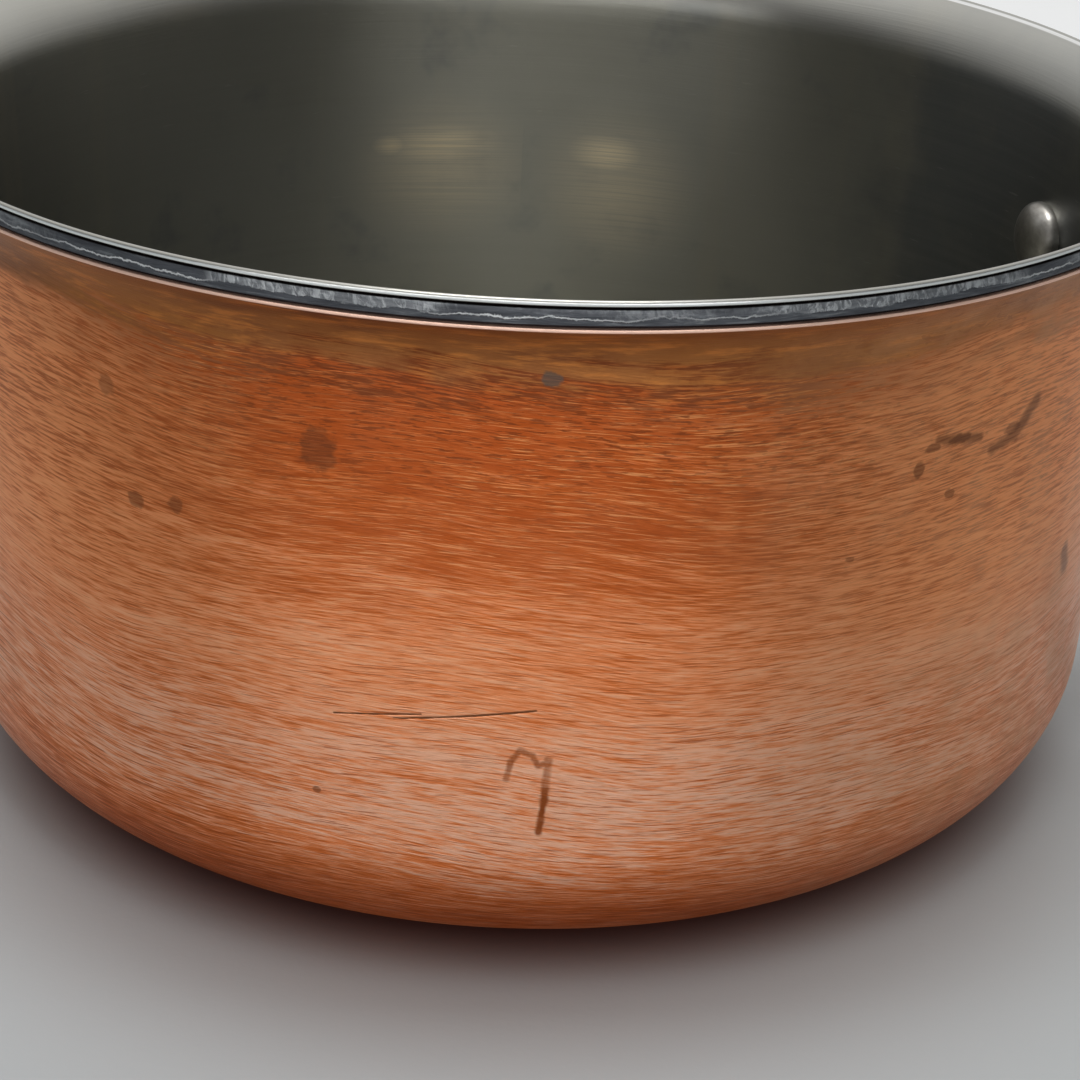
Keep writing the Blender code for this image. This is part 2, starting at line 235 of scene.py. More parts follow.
class Graph:
    """A material whose nodes are added by short calls that take numbers, colours or other sockets."""

    def __init__(self, name):
        self.material = bpy.data.materials.new(name)
        self.material.use_nodes = True
        self.tree = self.material.node_tree
        self.shader = self.tree.nodes["Principled BSDF"]
        self.place = self.add("ShaderNodeTexCoord").outputs["Object"]

    def add(self, kind, **settings):
        node = self.tree.nodes.new(kind)
        for name, value in settings.items():
            setattr(node, name, value)
        return node

    def plug(self, socket, value):
        if isinstance(value, bpy.types.NodeSocket):
            self.tree.links.new(value, socket)
        elif isinstance(value, tuple) and len(value) == 3 and socket.type == "RGBA":
            socket.default_value = (*value, 1.0)
        else:
            socket.default_value = value

    def set(self, **inputs):
        """Sets the main shader's inputs: base_color=... goes to Base Color."""
        names = {name.replace(" ", "_").lower(): name for name in self.shader.inputs.keys()}
        for name, value in inputs.items():
            self.plug(self.shader.inputs[names[name]], value)

    def math(self, operation, *values):
        node = self.add("ShaderNodeMath", operation=operation)
        for socket, value in zip(node.inputs, values):
            self.plug(socket, value)
        return node.outputs[0]

    def chain(self, operation, values):
        """Carries a two-way operation along several values."""
        result = values[0]
        for value in values[1:]:
            result = self.math(operation, result, value)
        return result

    def times(self, *values):
        return self.chain("MULTIPLY", values)

    def plus(self, *values):
        return self.chain("ADD", values)

    def minus(self, first, second):
        return self.math("SUBTRACT", first, second)

    def most(self, shares):
        """The strongest of several shares."""
        return self.chain("MAXIMUM", shares)

    def off(self, value, middle):
        """How far a value is from a middle one, on either side."""
        return self.math("ABSOLUTE", self.minus(value, middle))

    def length(self, *parts):
        """Length of the vector with these parts."""
        return self.math("SQRT", self.plus(*[self.times(part, part) for part in parts]))

    def split(self, vector):
        node = self.add("ShaderNodeSeparateXYZ")
        self.plug(node.inputs[0], vector)
        return node.outputs

    def join(self, x, y, z):
        node = self.add("ShaderNodeCombineXYZ")
        for socket, value in zip(node.inputs, (x, y, z)):
            self.plug(socket, value)
        return node.outputs[0]

    def noise(self, vector, scale, detail=3.0, roughness=0.5, distortion=0.0):
        node = self.add("ShaderNodeTexNoise")
        self.plug(node.inputs["Vector"], vector)
        self.plug(node.inputs["Scale"], scale)
        self.plug(node.inputs["Detail"], detail)
        self.plug(node.inputs["Roughness"], roughness)
        self.plug(node.inputs["Distortion"], distortion)
        return node.outputs["Fac"]

    def swing(self, noise, width):
        """Noise as a number that swings about 0, over this width at most."""
        return self.times(self.minus(noise, 0.5), width)

    def span(self, value, low, high, out_low=0.0, out_high=1.0, smooth=True):
        """Maps low..high to out_low..out_high, clamped."""
        node = self.add("ShaderNodeMapRange")
        node.interpolation_type = "SMOOTHSTEP" if smooth else "LINEAR"
        for socket, number in zip(node.inputs, (value, low, high, out_low, out_high)):
            self.plug(socket, number)
        return node.outputs[0]

    def ramp(self, value, stops):
        node = self.add("ShaderNodeValToRGB")
        elements = node.color_ramp.elements
        elements[0].position, elements[0].color = stops[0][0], (*stops[0][1], 1.0)
        elements[1].position, elements[1].color = stops[-1][0], (*stops[-1][1], 1.0)
        for position, colour in stops[1:-1]:
            elements.new(position).color = (*colour, 1.0)
        self.plug(node.inputs[0], value)
        return node.outputs[0]

    def mix(self, share, first, second):
        node = self.add("ShaderNodeMix", data_type="RGBA")
        self.plug(node.inputs[6], first)
        self.plug(node.inputs[7], second)
        self.plug(node.inputs[0], share)
        return node.outputs[2]

    def bump(self, height, distance):
        """A bump whose height of 1 stands this far out, in metres."""
        node = self.add("ShaderNodeBump")
        self.plug(node.inputs["Height"], height)
        node.inputs["Distance"].default_value = distance
        node.inputs["Strength"].default_value = 1.0
        return node.outputs[0]

    def grooves(self, strength):
        """Stretches highlights across grooves that run round the pan."""
        tangent = self.add("ShaderNodeTangent", direction_type="RADIAL", axis="Z").outputs[0]
        self.set(anisotropic=strength, anisotropic_rotation=0.25, tangent=tangent)

    def marks(self, along, across, drift=0.0, skew=0.0, detail=3.0, roughness=0.5, distortion=0.0):
        """Noise for marks that run round the pan, along and across them per metre.

        Drift, in metres, makes them wander up and down, and skew tilts them."""
        x, y, z = self.split(self.place)
        profile = self.plus(self.length(x, y), z)
        if drift:
            profile = self.plus(profile, self.times(self.noise(self.place, SWAYS_PER_METRE, 1.0), drift))
        if skew:
            profile = self.plus(profile, self.times(x, skew))
        place = self.join(self.times(x, along), self.times(y, along), self.times(profile, across))
        return self.noise(place, 1.0, detail, roughness, distortion)


# ---- Places on the wall ------------------------------------------------------------------------

SWAYS_PER_METRE = 18.0
OUTER_FACE = (60 * MM, 66 * MM)  # distance from the axis over which a mark on the outer face starts
BLOT_EDGE = (1.15, 0.75)  # where a stain starts and is full, as a share of its size


def wall_place(g):
    """Azimuth from the front in degrees, and height in millimetres, of a point on the wall."""
    x, y, z = g.split(g.place)
    azimuth = g.times(g.math("ARCTAN2", x, g.times(y, -1.0)), math.degrees(1))
    return azimuth, g.times(z, 1 / MM)


def axis_distance(g):
    """Distance from the pan's axis, in metres."""
    x, y, z = g.split(g.place)
    return g.length(x, y)


def round_place(g, scale):
    """Coordinates that vary round the pan and are the same from the floor to the lip."""
    x, y, z = g.split(g.place)
    radius = g.length(x, y)
    across, ahead = [g.times(g.math("DIVIDE", part, radius), scale) for part in (x, y)]
    return g.join(across, ahead, 0.0)


def outside_only(g, mask):
    """Keeps a mark to the outer face, away from the underside."""
    return g.times(mask, g.span(axis_distance(g), *OUTER_FACE))


def oval_distance(g, azimuth, height, patch):
    """Distance from the middle of an oval patch, where its edge is at 1."""
    at, level, half_width, half_height, strength = patch
    per_degree = math.radians(1) * wall_radius(level * MM) / MM
    across = g.times(g.minus(azimuth, at), per_degree / half_width)
    upward = g.times(g.minus(height, level), 1 / half_height)
    return g.length(across, upward)


def glow(g, azimuth, height, patch):
    """Share of an oval patch that fades out evenly."""
    return g.span(oval_distance(g, azimuth, height, patch), 1.0, 0.0, 0.0, patch[-1])


def blot(g, azimuth, height, ragged, stain):
    """Share of an oval stain with a ragged edge."""
    distance = g.plus(oval_distance(g, azimuth, height, stain), ragged)
    return g.span(distance, *BLOT_EDGE, 0.0, stain[-1])


def stroke(g, azimuth, height, ragged, line, softness):
    """Share of a straight stroke on the wall."""
    (at0, level0), (at1, level1), half_width = line
    per_degree = math.radians(1) * wall_radius(level0 * MM) / MM
    run, climb = (at1 - at0) * per_degree, level1 - level0
    length = math.hypot(run, climb)
    across = g.times(g.minus(azimuth, at0), per_degree)
    upward = g.minus(height, level0)
    along = g.plus(g.times(across, run / length), g.times(upward, climb / length))
    side = g.minus(g.times(across, climb / length), g.times(upward, run / length))
    nearest = g.math("MINIMUM", g.math("MAXIMUM", along, 0.0), length)
    gap = g.plus(g.length(side, g.minus(along, nearest)), g.times(ragged, half_width))
    return g.span(gap, half_width * (1 + softness), half_width * (1 - softness))


# ---- Copper ------------------------------------------------------------------------------------

# Colours, from rubbed clean to blackened; some of them also stand in for painted highlight and painted shade.
BRIGHT = (1.0, 0.66, 0.52)
HIGHLIGHT_BLUSH = (1.0, 0.55, 0.37)
PINK = (1.0, 0.46, 0.25)
FLANK_SHEEN = (0.97, 0.38, 0.15)
SALMON = (0.92, 0.31, 0.125)
GOLDEN = (0.84, 0.34, 0.12)
DULL_AND_SHADED = (0.66, 0.33, 0.175)
ORANGE = (0.68, 0.165, 0.036)
AMBER = (0.62, 0.22, 0.05)
FIRED = (0.47, 0.088, 0.016)
RUST = (0.42, 0.082, 0.013)
BLOOM_AND_SHADE = (0.36, 0.135, 0.036)
STAINED = (0.30, 0.075, 0.020)
SINGED = (0.16, 0.034, 0.010)
TARNISH = (0.15, 0.050, 0.022)
SMOKE = (0.10, 0.085, 0.07)
SCORE = (0.09, 0.030, 0.010)
WORN_STOPS = [(0.08, RUST), (0.34, ORANGE), (0.60, SALMON), (0.90, PINK)]

# Marks of the scouring and of wear.
HATCH = dict(along=300, across=4300, drift=0.010, skew=0.05, detail=2.0, roughness=0.6)
HAIR = dict(along=110, across=5200, drift=0.014, skew=0.11, detail=3.0, roughness=0.6)
BANDS = dict(along=26, across=520, drift=0.014, skew=0.07, detail=4.0, roughness=0.6)
CLOUD = dict(along=22, across=48, detail=4.0, roughness=0.55)
STROKES = dict(along=170, across=6500, drift=0.012, skew=-0.03, detail=2.0, roughness=0.6)
FLECKS = dict(along=110, across=600, detail=4.0, roughness=0.7)
DASHES = dict(along=480, across=4200, drift=0.010, detail=2.0, roughness=0.6)
PITS = dict(along=520, across=900, detail=3.0, roughness=0.6, distortion=0.9)
SPOTS = dict(scale=140.0, detail=5.0, roughness=0.65)
RAGS = dict(scale=900.0, detail=3.0)

# Heights in millimetres between which each kind of wear, painted highlight or painted shade grows from none
# to full.
LIFTED_AND_LIT_HEIGHTS = (67.0, 30.0)
FOOT_SHADE_HEIGHTS = (4.0, 22.0)
HIGHLIGHT_BLUSH_HEIGHTS = (40.0, 24.0)
HIGHLIGHT_BLUSH_FOOT_HEIGHTS = (5.0, 15.0)
PALE_HEIGHTS = (38.0, 22.0)
FIRED_HEIGHTS = (48.0, 66.0)
BLOOM_AND_SHADE_HEIGHTS = (71.0, 75.5)
BURNT_FROM, BURNT_TO = (67.5, 72.0), (76.5, 74.0)
DASHED_FROM, DASHED_TO = (52.0, 70.0), (75.0, 73.0)
PITTED_HEIGHTS = (42.0, 58.0)
FLANK_FROM, FLANK_TO = (30.0, 50.0), (77.0, 71.0)

# The same round the pan, in degrees from the front, or from a middle where one is given.
# The painted highlight in front: its middle and how it fades round the pan.
FRONT_HIGHLIGHT_MIDDLE, FRONT_HIGHLIGHT_AZIMUTHS = -9.0, (8.0, 50.0)
FIRED_MIDDLE, FIRED_AZIMUTHS = -5.0, (38.0, 4.0)
DASHED_AZIMUTHS = (16.0, 42.0)
RIGHT_AZIMUTHS, LEFT_AZIMUTHS = (8.0, 50.0), (-30.0, -75.0)
FLANK_MIDDLE, FLANK_AZIMUTHS = -4.0, (12.0, 46.0)

# How clean the metal is, from 0 to 1, with painted light mixed in: its least, what place adds as painted
# highlight and shade, and how far each mark moves it.
LEAST_CLEAN, PLACE_CLEANS_AND_LIGHTS = 0.17, 0.52
CLOUD_CLEANS, BANDS_CLEAN, HATCH_CLEANS, HAIR_CLEANS = 0.55, 0.62, 1.15, 0.9

# Stains: azimuth from the front in degrees, height, half width, half height, strength.
STAINS = (
    (-17.4, 64.0, 2.1, 2.4, 0.55),
    (-34.1, 53.2, 1.1, 1.1, 0.50),
    (-30.0, 54.0, 1.0, 1.0, 0.45),
    (-36.6, 65.5, 1.2, 1.3, 0.40),
    (-17.7, 23.2, 0.5, 0.5, 0.60),
    (31.4, 60.4, 0.7, 1.0, 0.60),
    (32.6, 62.6, 1.2, 0.5, 0.50),
    (35.6, 62.9, 1.6, 0.6, 0.55),
    (42.0, 62.0, 1.4, 0.7, 0.45),
    (35.2, 56.5, 0.8, 0.6, 0.50),
    (25.6, 51.3, 0.6, 0.4, 0.40),
    (62.0, 41.0, 0.9, 3.0, 0.50),
    (140.0, 60.0, 2.4, 1.8, 0.45),
    (-120.0, 35.0, 1.8, 2.2, 0.45),
)
SMOKE_SPOT = (0.2, 73.9, 1.1, 0.9, 0.75)

# Scratches, smears and the dried drip, as strokes from one (azimuth, height) to the next, then half width.
SCRATCHES = (
    ((-16.2, 33.3), (-9.0, 34.6), 0.10),
    ((-11.2, 33.7), (0.2, 35.9), 0.13),
)
SMEARS = (
    ((39.6, 60.3), (42.4, 61.1), 0.60),
    ((42.4, 61.1), (44.8, 64.4), 0.80),
    ((33.1, 63.4), (37.8, 62.4), 0.55),
    ((55.7, 40.9), (56.5, 38.4), 0.90),
)
DRIP = (
    ((-1.9, 27.3), (-1.6, 29.6), 0.32),
    ((-1.6, 29.6), (-0.9, 31.0), 0.34),
    ((-0.9, 31.0), (0.1, 30.4), 0.36),
    ((0.1, 30.4), (0.6, 29.1), 0.34),
    ((0.6, 29.1), (1.4, 29.5), 0.34),
    ((1.4, 29.9), (1.2, 24.5), 0.40),
    ((1.2, 24.5), (0.9, 20.6), 0.36),
)
SOFT_STROKE, CRISP_STROKE = 0.6, 0.8

COPPER_ROUGHNESS = (0.46, 0.34)  # from blackened to rubbed clean
COPPER_GRAIN = 0.06 * MM
COPPER_GROOVES = 0.6


def brushed_copper():
    g = Graph("brushed_copper")
    azimuth, height = wall_place(g)
    hatch = g.marks(**HATCH)
    hair = g.marks(**HAIR)
    bands = g.marks(**BANDS)
    cloud = g.marks(**CLOUD)
    spots = g.noise(g.place, **SPOTS)
    ragged = g.swing(g.noise(g.place, **RAGS), 1.1)
    # Partly tarnish and partly painted shade: darker high on the wall, lighter low down.
    lifted_and_lit = g.span(height, *LIFTED_AND_LIT_HEIGHTS)

    # How clean the metal is, mixed with painted light: tarnish and painted shade darken it high up under the
    # lip, painted shade darkens the foot where the corner turns under, and a painted highlight lightens the
    # front a little left of the middle.
    foot = g.span(height, *FOOT_SHADE_HEIGHTS, 0.1, 1.0)
    front = g.span(g.off(azimuth, FRONT_HIGHLIGHT_MIDDLE), *FRONT_HIGHLIGHT_AZIMUTHS, 1.0, 0.9)
    clean_and_lit = g.plus(g.times(lifted_and_lit, foot, front, PLACE_CLEANS_AND_LIGHTS), LEAST_CLEAN)
    clean_and_lit = g.plus(clean_and_lit, g.swing(cloud, CLOUD_CLEANS), g.swing(bands, BANDS_CLEAN))
    clean_and_lit = g.plus(clean_and_lit, g.swing(hatch, HATCH_CLEANS), g.swing(hair, HAIR_CLEANS))
    colour = g.ramp(clean_and_lit, WORN_STOPS)
    # Painted highlight: clean metal low on the wall is painted a pinker blush, less so at the very foot.
    lowest_highlight = g.times(g.span(height, *HIGHLIGHT_BLUSH_HEIGHTS), g.span(clean_and_lit, 0.5, 0.9))
    lowest_highlight = g.times(lowest_highlight, g.span(height, *HIGHLIGHT_BLUSH_FOOT_HEIGHTS, 0.2, 1.0))
    colour = g.mix(lowest_highlight, colour, HIGHLIGHT_BLUSH)

    # Redder, fire-stained patch high on the front.
    beside = g.span(g.off(azimuth, FIRED_MIDDLE), *FIRED_AZIMUTHS)
    red = g.times(beside, g.span(g.plus(height, g.times(spots, 14.0)), *FIRED_HEIGHTS))
    colour = g.mix(g.times(red, g.span(bands, 0.36, 0.60, 1.0, 0.45)), colour, FIRED)

    # Single crisp strokes over that, pale where the scourer cut and dark where dirt stayed; the pale ones
    # follow the painted highlight, golden high up and pinker low on the wall.
    strokes = g.marks(**STROKES)
    patchy = g.span(cloud, 0.40, 0.62, 0.35, 1.0)
    pale = g.mix(lifted_and_lit, GOLDEN, g.mix(g.span(height, *PALE_HEIGHTS), PINK, HIGHLIGHT_BLUSH))
    colour = g.mix(g.times(g.span(strokes, 0.56, 0.63), patchy, 0.75), colour, pale)
    colour = g.mix(g.span(strokes, 0.43, 0.35, 0.0, 0.75), colour, RUST)

    # Brown band in the hollow under the lip, partly tarnish bloom and partly painted shade, with a burnt,
    # broken edge below it and dark dashes.
    broken = g.plus(height, g.swing(spots, 7.0), g.swing(bands, 12.0))
    bloom_and_shade_colour = g.mix(g.span(cloud, 0.38, 0.62), TARNISH, BLOOM_AND_SHADE)
    bloom_and_shade_colour = g.mix(g.span(g.marks(**FLECKS), 0.48, 0.68, 0.0, 0.8), bloom_and_shade_colour, AMBER)
    colour = g.mix(g.span(broken, *BLOOM_AND_SHADE_HEIGHTS, 0.0, 0.92), colour, bloom_and_shade_colour)
    burnt = g.times(g.span(broken, *BURNT_FROM), g.span(broken, *BURNT_TO), g.span(hatch, 0.42, 0.58))
    colour = g.mix(g.times(burnt, 0.85), colour, SINGED)
    dashed = g.times(g.span(g.marks(**DASHES), 0.54, 0.61), g.span(height, *DASHED_FROM, 0.1, 0.7))
    dashed = g.times(dashed, g.span(g.off(azimuth, 0.0), *DASHED_AZIMUTHS, 1.0, 0.35))
    colour = g.mix(g.times(dashed, g.span(broken, *DASHED_TO)), colour, SINGED)

    # Pitting, and dull patches that are partly tarnish and partly painted shade, more to the sides.
    side = g.most([g.span(azimuth, *RIGHT_AZIMUTHS, 0.1, 1.0), g.span(azimuth, *LEFT_AZIMUTHS, 0.0, 0.7)])
    pitted = g.times(g.span(g.marks(**PITS), 0.57, 0.64), side, g.span(height, *PITTED_HEIGHTS))
    colour = g.mix(g.times(pitted, 0.65), colour, SINGED)
    colour = g.mix(g.times(side, g.span(spots, 0.35, 0.7, 0.25, 0.7)), colour, DULL_AND_SHADED)

    # Painted reflection: the flanks are painted paler from mid height to below the lip, as if light from the
    # sides shone in them.
    flank_sheen = g.span(g.off(azimuth, FLANK_MIDDLE), *FLANK_AZIMUTHS)
    flank_sheen = g.times(flank_sheen, g.span(height, *FLANK_FROM), g.span(broken, *FLANK_TO))
    colour = g.mix(g.times(flank_sheen, g.span(hatch, 0.38, 0.58, 0.20, 0.85)), colour, FLANK_SHEEN)

    # The cut edge at the lip stays bright.
    edge = cut_height(0.0) / MM
    colour = g.mix(g.span(height, edge - 0.05, edge + 0.02, smooth=False), colour, BRIGHT)

    # Stains, the dried drip, smears and scratches.
    stains = g.most([blot(g, azimuth, height, ragged, stain) for stain in STAINS])
    colour = g.mix(outside_only(g, stains), colour, TARNISH)
    smoke = blot(g, azimuth, height, ragged, SMOKE_SPOT)
    colour = g.mix(outside_only(g, smoke), colour, SMOKE)
    drip = g.most([stroke(g, azimuth, height, ragged, line, SOFT_STROKE) for line in DRIP])
    drip = g.times(drip, g.span(spots, 0.35, 0.55, 0.55, 1.0))
    colour = g.mix(outside_only(g, drip), colour, STAINED)
    smears = g.most([stroke(g, azimuth, height, ragged, line, SOFT_STROKE) for line in SMEARS])
    colour = g.mix(g.times(outside_only(g, smears), 0.6), colour, TARNISH)
    cuts = g.most([stroke(g, azimuth, height, ragged, line, CRISP_STROKE) for line in SCRATCHES])
    cuts = g.times(cuts, g.span(hatch, 0.36, 0.46, 0.25, 1.0))
    colour = g.mix(g.times(outside_only(g, cuts), 0.9), colour, SCORE)

    grain = g.minus(g.plus(g.times(hair, 0.5), g.times(hatch, 0.5)), g.times(cuts, 0.8))
    roughness = g.span(clean_and_lit, 0.2, 0.8, *COPPER_ROUGHNESS)
    g.set(base_color=colour, metallic=1.0, roughness=roughness, normal=g.bump(grain, COPPER_GRAIN))
    g.grooves(COPPER_GROOVES)
    return g.material


# ---- Aluminium edge ----------------------------------------------------------------------------

GROUND_STOPS = [(0.3, (0.040, 0.042, 0.050)), (0.55, (0.09, 0.094, 0.105)), (0.8, (0.30, 0.31, 0.32))]
RIB_METAL = (0.50, 0.51, 0.52)
BURR_METAL = (0.70, 0.71, 0.72)
JOINT_SHADE = (0.012, 0.006, 0.006)
SMEARED = dict(along=150, across=1500, drift=0.001, detail=5.0, roughness=0.7, distortion=0.5)
RIBS = dict(along=1300, across=900, skew=0.5, detail=3.0, roughness=0.6, distortion=0.8)
STRETCHES = dict(scale=24.0, detail=2.0)
WANDER = dict(scale=260.0, detail=5.0, roughness=0.7)
WANDER_WIDTH = 1.6 * MM
BURR_SHARE = 0.45  # the burr's height between the copper's edge and the liner's
BURR_FADE = (0.16 * MM, 0.03 * MM)
FOLD_FADE = (-0.05 * MM, 0.05 * MM)
JOINT_SHADE_DEPTHS = (0.12 * MM, 0.22 * MM)
CORE_GRAIN = 0.12 * MM


def ground_core():
    """Aluminium edge, ground flat: smeared metal, a torn burr along it, and painted shade in the sunk joints
    beside it.
    """
    g = Graph("ground_core")
    z = g.split(g.place)[2]
    smear = g.marks(**SMEARED)
    stretch = g.noise(g.place, **STRETCHES)
    wander = g.swing(g.noise(g.place, **WANDER), WANDER_WIDTH)
    low, high = cut_height(0.0) + COPPER_EDGE, PAN_HEIGHT - LINER_EDGE
    above = g.minus(g.minus(z, low * (1 - BURR_SHARE) + high * BURR_SHARE), wander)
    burr = g.times(g.span(g.off(above, 0.0), *BURR_FADE), g.span(stretch, 0.44, 0.52))
    folded = g.times(g.span(above, *FOLD_FADE), g.span(stretch, 0.50, 0.44))
    ribbed = g.times(folded, g.span(g.marks(**RIBS), 0.40, 0.66, 0.25, 1.0))
    colour = g.ramp(smear, GROUND_STOPS)
    colour = g.mix(g.times(ribbed, 0.75), colour, RIB_METAL)
    colour = g.mix(g.times(burr, 0.9), colour, BURR_METAL)
    # Painted shade: near black in the sunk joints between the layers.
    joint_shade = g.span(axis_distance(g), *[RIM_RADIUS - depth for depth in JOINT_SHADE_DEPTHS])
    colour = g.mix(joint_shade, colour, JOINT_SHADE)
    raised = g.plus(smear, g.times(ribbed, 0.6), burr)
    roughness = g.span(smear, 0.3, 0.7, 0.5, 0.34)
    g.set(base_color=colour, metallic=0.8, roughness=roughness, normal=g.bump(raised, CORE_GRAIN))
    return g.material


# ---- Steel inside ------------------------------------------------------------------------------

STEEL_STOPS = [(0.3, (0.27, 0.26, 0.22)), (0.5, (0.36, 0.355, 0.31)), (0.7, (0.43, 0.425, 0.38))]
STRAW_STEEL = (0.46, 0.42, 0.33)
BLUED_STEEL = (0.20, 0.22, 0.235)
SHADED_STEEL = (0.15, 0.165, 0.175)
GLINT_STEEL = (1.0, 0.86, 0.62)
GREY_STEEL = (0.50, 0.49, 0.45)
TICK_STEEL = (0.58, 0.57, 0.54)
LIP_SHEEN_STEEL = (0.56, 0.55, 0.51)
ARRIS_HIGHLIGHT_STEEL = (0.95, 0.95, 0.94)
FINE = dict(along=50, across=4200, drift=0.003, detail=3.0, roughness=0.6)
MEDIUM = dict(along=20, across=700, drift=0.004, detail=4.0, roughness=0.6)
TICKS = dict(along=260, across=2400, detail=2.0)
STEEL_STAIN = dict(scale=22.0, detail=3.0, roughness=0.5)
HEAT = dict(scale=55.0, detail=4.0, roughness=0.6)
TINTS_ROUND = 5.0
# Painted shade: the darker stretch of the wall, by the handle.
SHADED_AZIMUTHS = ((152.0, 124.0), (50.0, 80.0))  # darker stretch of the wall, by the handle
LIP_SHEEN_HEIGHTS = (74.5, 77.5)
ARRIS_FADE = (0.12, 0.26)  # below the top, in millimetres
STEEL_ROUGHNESS = (0.36, 0.31)
STEEL_GRAIN = 0.025 * MM
STEEL_GROOVES = 0.7

# Painted highlights, warm glints of light on the far wall inside: azimuth, height, half width, half height,
# strength.
PAINTED_GLINTS = (
    (-170.0, 52.5, 14.0, 5.5, 0.95),
    (-164.0, 52.6, 4.5, 2.5, 0.95),
    (169.5, 51.8, 9.0, 5.0, 1.00),
    (-170.0, 49.0, 18.0, 14.0, 0.50),
    (168.0, 47.0, 16.0, 15.0, 0.50),
)


def worn_steel():
    """Brushed stainless steel, stained by cooking, with painted light: warm glints, a lighter lip, a
    highlight on the polished arris and a shaded stretch.
    """
    g = Graph("worn_steel")
    azimuth, height = wall_place(g)
    fine = g.marks(**FINE)
    medium = g.marks(**MEDIUM)
    stain = g.noise(g.place, **STEEL_STAIN)
    heat = g.noise(g.place, **HEAT)
    tint = g.noise(round_place(g, TINTS_ROUND), 1.0, 3.0, 0.6)

    # Stains of cooking, and the painted shade of the darker stretch.
    colour = g.ramp(stain, STEEL_STOPS)
    colour = g.mix(g.span(tint, 0.52, 0.66, 0.0, 0.45), colour, STRAW_STEEL)
    colour = g.mix(g.span(heat, 0.52, 0.68, 0.0, 0.5), colour, BLUED_STEEL)
    shaded = g.times(*[g.span(azimuth, *ends) for ends in SHADED_AZIMUTHS])
    colour = g.mix(g.times(shaded, g.span(heat, 0.35, 0.6, 0.35, 0.75)), colour, SHADED_STEEL)

    # Painted highlights as warm glints, then brushing and small dents.
    glints = g.most([glow(g, azimuth, height, patch) for patch in PAINTED_GLINTS])
    colour = g.mix(g.times(glints, g.span(fine, 0.35, 0.6, 0.6, 1.0)), colour, GLINT_STEEL)
    colour = g.mix(g.times(medium, 0.3), colour, GREY_STEEL)
    colour = g.mix(g.span(g.marks(**TICKS), 0.70, 0.78, 0.0, 0.3), colour, TICK_STEEL)

    # Painted reflection: the lip is painted lighter; and its polished arris is painted near white as a
    # highlight.
    colour = g.mix(g.span(height, *LIP_SHEEN_HEIGHTS, 0.0, 0.6), colour, LIP_SHEEN_STEEL)
    top, foot = PAN_HEIGHT / MM, (PAN_HEIGHT - LINER_EDGE) / MM
    arris = g.times(
        g.span(height, foot, foot + 0.1, smooth=False),
        g.span(height, *[top - depth for depth in ARRIS_FADE]),
        g.span(medium, 0.3, 0.6, 0.6, 1.0),
    )
    colour = g.mix(arris, colour, ARRIS_HIGHLIGHT_STEEL)

    roughness = g.span(stain, 0.3, 0.7, *STEEL_ROUGHNESS)
    grain = g.plus(g.times(fine, 0.7), g.times(medium, 0.3))
    g.set(base_color=colour, metallic=1.0, roughness=roughness, normal=g.bump(grain, STEEL_GRAIN))
    g.grooves(STEEL_GROOVES)
    return g.material


# ---- Rivets, handle and floor ------------------------------------------------------------------

RIVET_STOPS = [(0.3, (0.30, 0.28, 0.25)), (0.7, (0.62, 0.60, 0.56))]
RIVET_WEAR = dict(scale=420.0, detail=5.0, roughness=0.6)
RIVET_SCRATCHES = dict(along=500, across=5000, detail=2.0)
RIVET_GRAIN = 0.04 * MM

BRASS_STOPS = [(0.3, (0.42, 0.27, 0.10)), (0.5, (0.62, 0.42, 0.17)), (0.7, (0.76, 0.54, 0.24))]
BRASS_POLISHED = (0.88, 0.68, 0.34)
BRASS_HOLLOW = (0.22, 0.14, 0.06)
CASTING_PITS = dict(scale=900.0, detail=3.0, roughness=0.5)
PATINA = dict(scale=45.0, detail=5.0, roughness=0.6, distortion=0.3)
CASTING_GRAIN = 0.05 * MM

NEAR_STOPS = [(0.3, (0.46, 0.505, 0.52)), (0.7, (0.50, 0.545, 0.56))]
FAR_LIT_PAINT = (0.94, 0.95, 0.95)
FOOT_SHADOW_PAINT = (0.09, 0.030, 0.024)
LIT_BEHIND = (0.05, 0.35)  # metres behind the pan's axis
DARKER_UNDER = (61 * MM, 78 * MM)
TABLE_CLOUD = dict(scale=6.0, detail=3.0, roughness=0.5)
SPECKS = dict(scale=900.0, detail=2.0, roughness=0.5)
PAINT_GRAIN = 0.02 * MM


def rivet_steel():
    g = Graph("rivet_steel")
    wear = g.noise(g.place, **RIVET_WEAR)
    raised = g.plus(wear, g.times(g.marks(**RIVET_SCRATCHES), 0.5))
    roughness = g.span(wear, 0.3, 0.7, 0.42, 0.31)
    colour = g.ramp(wear, RIVET_STOPS)
    g.set(base_color=colour, metallic=1.0, roughness=roughness, normal=g.bump(raised, RIVET_GRAIN))
    return g.material


def cast_brass():
    """Satin brass, polished where hands rub it and dark in its hollows."""
    g = Graph("cast_brass")
    pits = g.noise(g.place, **CASTING_PITS)
    patina = g.noise(g.place, **PATINA)
    polish = g.add("ShaderNodeNewGeometry").outputs["Pointiness"]
    colour = g.ramp(patina, BRASS_STOPS)
    colour = g.mix(g.span(polish, 0.52, 0.58), colour, BRASS_POLISHED)
    colour = g.mix(g.span(polish, 0.48, 0.42), colour, BRASS_HOLLOW)
    roughness = g.span(patina, 0.3, 0.7, 0.44, 0.32)
    g.set(base_color=colour, metallic=1.0, roughness=roughness, normal=g.bump(pits, CASTING_GRAIN))
    return g.material


